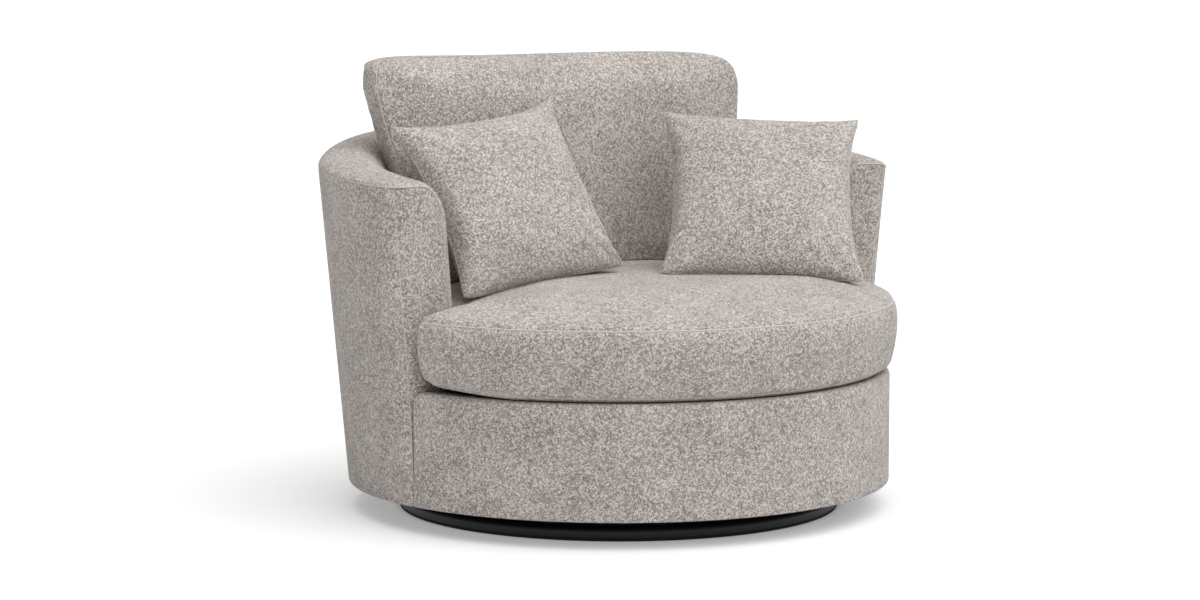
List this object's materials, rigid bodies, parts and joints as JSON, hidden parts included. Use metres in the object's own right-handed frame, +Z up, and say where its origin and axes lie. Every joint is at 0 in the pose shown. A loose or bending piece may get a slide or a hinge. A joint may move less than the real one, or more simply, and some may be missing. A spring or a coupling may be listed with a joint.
{
  "type": "swivel chair",
  "caption": "Round barrel swivel armchair in greige curly-pile fabric with loose seat, back and scatter cushions on a dark steel ring.",
  "frame": {"origin": "on the floor, at the swivel axis", "axes": "+Z up along the swivel axis, the chair's front faces -Y, +X at the right of someone facing the chair"},
  "size_m": [1.1458, 1.1134, 0.86],
  "materials": {
    "greige_fabric": "matte",
    "deck_fabric": "matte",
    "foam": "matte",
    "black_steel": "satin",
    "bright_steel": "satin",
    "black_rubber": "matte",
    "nylon": "satin",
    "plywood": "matte",
    "hardboard": "matte"
  },
  "bodies": {
    "base": {"base_ring": "black_steel", "floor_strip": "black_rubber", "base_spokes": "black_steel", "hub_plate": "black_steel", "lower_race": "bright_steel", "race_screws": "bright_steel", "kingpin_bush": "nylon"},
    "bearing_cage": {"ball_cage": "nylon", "bearing_balls": "bright_steel"},
    "seat_cushion": {"seat_cushion_cover": "greige_fabric", "seat_cushion_foam": "foam"},
    "back_cushion": {"back_cushion_cover": "greige_fabric", "back_cushion_fill": "foam"},
    "left_pillow": {"left_pillow_cover": "greige_fabric", "left_pillow_fill": "foam"},
    "right_pillow": {"right_pillow_cover": "greige_fabric", "right_pillow_fill": "foam"},
    "chair": {"upper_race": "bright_steel", "mount_bolts": "bright_steel", "tee_nuts": "bright_steel", "kingpin": "bright_steel", "kingpin_washer": "bright_steel", "kingpin_nut": "bright_steel", "base_board": "plywood", "dust_cover": "deck_fabric", "front_rail": "plywood", "seat_ring": "plywood", "seat_posts": "plywood", "seat_springs": "bright_steel", "spring_clips": "nylon", "spring_ties": "bright_steel", "seat_pad": "foam", "deck_cloth": "deck_fabric", "top_rail": "plywood", "barrel_posts": "plywood", "outer_board": "hardboard", "inner_board": "hardboard", "outside_wadding": "foam", "top_foam": "foam", "inside_foam": "foam", "outside_cover": "greige_fabric", "inside_cover": "greige_fabric", "front_wadding": "foam", "front_cover": "greige_fabric"}
  },
  "joints": [
    {"name": "swivel", "type": "hinge", "parent": "base", "child": "chair", "pos_m": [0, 0, 0], "axis": [0, 0, 1], "continuous": true},
    {"name": "cage_roll", "type": "hinge", "parent": "base", "child": "bearing_cage", "pos_m": [0, 0, 0], "axis": [0, 0, 1], "continuous": true},
    {"name": "seat_cushion_lift", "type": "slide", "parent": "chair", "child": "seat_cushion", "axis": [0, 0, 1], "range_m": [0, 0.4]},
    {"name": "back_cushion_lift", "type": "slide", "parent": "seat_cushion", "child": "back_cushion", "axis": [0, 0, 1], "range_m": [0, 0.4]},
    {"name": "left_pillow_lift", "type": "slide", "parent": "back_cushion", "child": "left_pillow", "axis": [0, 0, 1], "range_m": [0, 0.4]},
    {"name": "right_pillow_lift", "type": "slide", "parent": "back_cushion", "child": "right_pillow", "axis": [0, 0, 1], "range_m": [0, 0.4]}
  ],
  "couplings": [
    {"joint": "cage_roll", "follows": "swivel", "ratio": 0.5}
  ]
}
